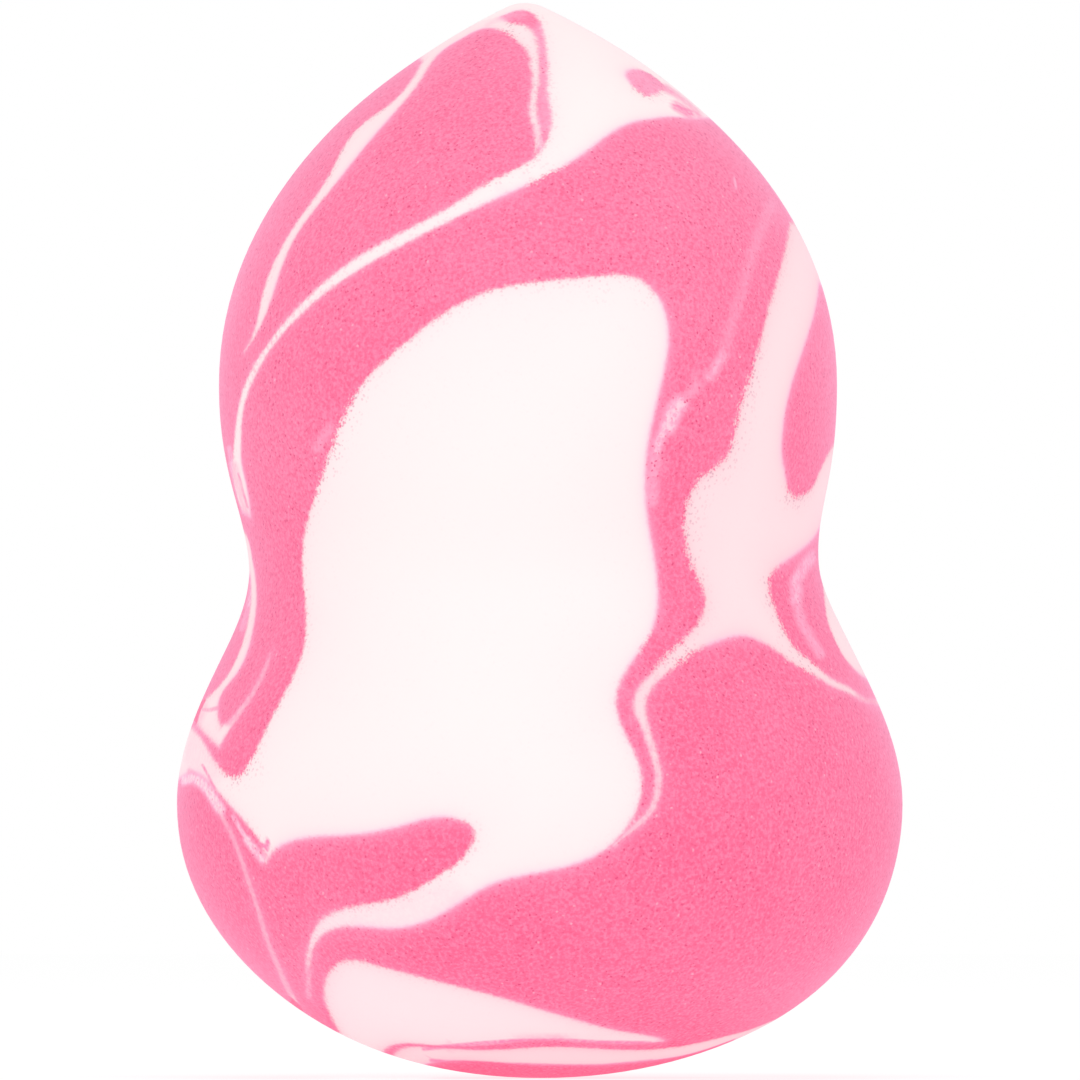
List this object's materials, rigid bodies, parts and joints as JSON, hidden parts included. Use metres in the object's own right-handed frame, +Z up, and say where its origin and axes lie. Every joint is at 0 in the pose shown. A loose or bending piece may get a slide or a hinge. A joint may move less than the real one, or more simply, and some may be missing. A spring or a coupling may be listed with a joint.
{
  "type": "makeup sponge",
  "caption": "Gourd-shaped makeup sponge of soft marbled foam with a full lower bulb, a drawn-in waist and a pointed tip, for dabbing and blending foundation.",
  "frame": {"origin": "middle of the small flat under the lower bulb that the sponge stands on", "axes": "+Z up through the tip, +X to the right seen from the front, +Y to the back; the front is the side with the large white patch"},
  "size_m": [0.0405, 0.0404, 0.0595],
  "materials": {
    "pink_foam": "matt open-cell polyurethane foam with fine pores",
    "white_foam": "matt open-cell polyurethane foam with fine pores"
  },
  "bodies": {
    "root": {"pink_body": "pink_foam", "crown_fleck": "pink_foam", "front_patch": "white_foam", "crown_patch": "white_foam", "shoulder_stream": "white_foam", "right_stream": "white_foam", "left_hook": "white_foam", "left_thread": "white_foam", "base_wedge": "white_foam", "base_rim": "white_foam", "back_patch": "white_foam", "back_shoulder_vein": "white_foam", "back_left_vein": "white_foam", "back_waist_thread": "white_foam", "back_swirl": "white_foam", "back_lower_wedge": "white_foam"}
  },
  "joints": []
}
